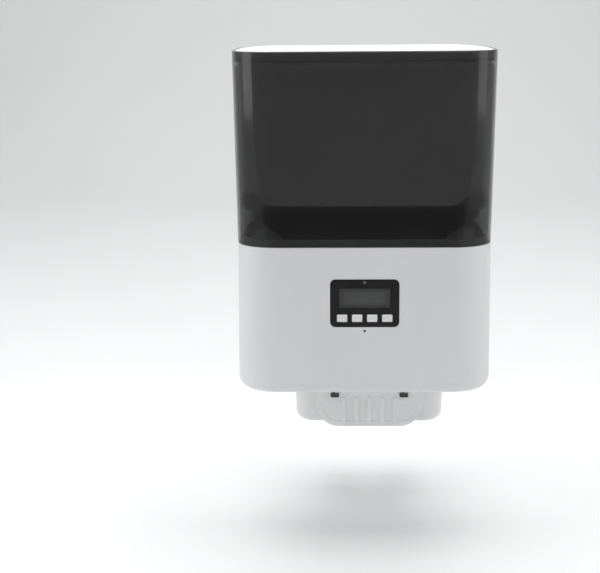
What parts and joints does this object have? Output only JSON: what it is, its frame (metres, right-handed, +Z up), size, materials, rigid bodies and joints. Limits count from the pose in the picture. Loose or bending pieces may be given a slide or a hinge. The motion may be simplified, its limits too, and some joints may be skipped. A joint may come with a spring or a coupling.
{
  "type": "automatic pet feeder",
  "caption": "Crate-mounted dry food dispenser: smoky hopper, white base with control panel, metering drum, spout and a bowl held inside the crate.",
  "frame": {"origin": "centre of the flat rear wall of the base, which bears on the crate wires", "axes": "+Y out of the rear wall into the crate, +Z up, +X to the right seen from the front"},
  "size_m": [0.2588, 0.281, 0.4226],
  "materials": {
    "smoky_plastic": "smoke-tinted translucent plastic, polished",
    "white_plastic": "fine satin moulded plastic",
    "button_plastic": "smooth satin plastic with a bevelled edge",
    "chute_plastic": "smooth satin plastic",
    "frosted_plastic": "frosted translucent plastic",
    "panel_gloss": "glossy black plastic",
    "window_clear": "clear grey-tinted plastic",
    "grey_plastic": "plain moulded grey plastic",
    "silicone": "soft pale silicone",
    "circuit_board": "solder-masked glass-fibre board",
    "black_plastic": "plain moulded black plastic",
    "steel": "plated steel",
    "bronze": "sintered bronze",
    "battery_jacket": "plain battery jacket"
  },
  "bodies": {
    "base": {"base_housing": "white_plastic", "base_bottom_cover": "white_plastic", "base_deck": "white_plastic", "rear_chute": "chute_plastic", "bowl_bracket": "frosted_plastic", "control_panel": "panel_gloss", "display_window": "window_clear", "light_pipe": "window_clear", "display_module": "grey_plastic", "metering_housing": "grey_plastic", "metering_end_cover": "grey_plastic", "gear_plate": "grey_plastic", "battery_box": "grey_plastic", "control_board": "circuit_board", "microphone": "black_plastic", "power_inlet": "black_plastic", "speaker": "black_plastic", "wire_clip_left": "black_plastic", "wire_clip_right": "black_plastic", "cover_screw_1": "steel", "cover_screw_2": "steel", "cover_screw_3": "steel", "cover_screw_4": "steel", "cover_screw_5": "steel", "cover_screw_6": "steel", "idler_pin": "steel", "gear_motor": "steel", "contact_strip_front": "steel", "contact_strip_rear": "steel", "clamp_bolt_left": "steel", "clamp_bolt_right": "steel", "bush_left": "bronze", "bush_right": "bronze", "battery_1": "battery_jacket", "battery_2": "battery_jacket", "battery_3": "battery_jacket"},
    "hopper": {"hopper": "smoky_plastic", "hopper_gasket": "silicone"},
    "lid": {"lid": "white_plastic", "lid_seal": "silicone"},
    "bowl": {"bowl": "frosted_plastic"},
    "battery_door": {"battery_door": "white_plastic"},
    "button_1": {"button_1": "button_plastic"},
    "button_2": {"button_2": "button_plastic"},
    "button_3": {"button_3": "button_plastic"},
    "button_4": {"button_4": "button_plastic"},
    "rotor": {"portion_rotor": "silicone", "rotor_axle": "steel", "driven_gear": "white_plastic"},
    "idler": {"idler_gear": "white_plastic"},
    "pinion": {"motor_pinion": "steel"},
    "thumb_nut_left": {"thumb_nut_left": "black_plastic"},
    "thumb_nut_right": {"thumb_nut_right": "black_plastic"}
  },
  "joints": [
    {"name": "lid_lift", "type": "slide", "parent": "hopper", "child": "lid", "axis": [0, 0, 1], "range_m": [0, 0.06]},
    {"name": "hopper_lift", "type": "slide", "parent": "base", "child": "hopper", "axis": [0, 0, 1], "range_m": [0, 0.1]},
    {"name": "bowl_slide", "type": "slide", "parent": "base", "child": "bowl", "axis": [0, 1, 0], "range_m": [0, 0.1]},
    {"name": "battery_door_pull", "type": "slide", "parent": "base", "child": "battery_door", "axis": [0, 0, -1], "range_m": [0, 0.03]},
    {"name": "button_1_press", "type": "slide", "parent": "base", "child": "button_1", "axis": [0, 1, 0], "range_m": [0, 0.0008], "stiffness_N_per_m": 900, "springref_m": -0.0006},
    {"name": "button_2_press", "type": "slide", "parent": "base", "child": "button_2", "axis": [0, 1, 0], "range_m": [0, 0.0008], "stiffness_N_per_m": 900, "springref_m": -0.0006},
    {"name": "button_3_press", "type": "slide", "parent": "base", "child": "button_3", "axis": [0, 1, 0], "range_m": [0, 0.0008], "stiffness_N_per_m": 900, "springref_m": -0.0006},
    {"name": "button_4_press", "type": "slide", "parent": "base", "child": "button_4", "axis": [0, 1, 0], "range_m": [0, 0.0008], "stiffness_N_per_m": 900, "springref_m": -0.0006},
    {"name": "rotor_spin", "type": "hinge", "parent": "base", "child": "rotor", "pos_m": [0, -0.04, 0], "axis": [1, 0, 0], "continuous": true},
    {"name": "idler_spin", "type": "hinge", "parent": "base", "child": "idler", "pos_m": [0.049, -0.0723, 0], "axis": [1, 0, 0], "continuous": true},
    {"name": "pinion_spin", "type": "hinge", "parent": "base", "child": "pinion", "pos_m": [0.049, -0.0906, 0], "axis": [1, 0, 0], "continuous": true},
    {"name": "thumb_nut_left_turn", "type": "hinge", "parent": "base", "child": "thumb_nut_left", "pos_m": [-0.06, 0.013, 0], "axis": [0, 1, 0], "continuous": true},
    {"name": "thumb_nut_right_turn", "type": "hinge", "parent": "base", "child": "thumb_nut_right", "pos_m": [0.06, 0.013, 0], "axis": [0, 1, 0], "continuous": true}
  ],
  "couplings": [
    {"joint": "idler_spin", "follows": "rotor_spin", "ratio": -1.6667},
    {"joint": "pinion_spin", "follows": "rotor_spin", "ratio": 3.3333}
  ]
}
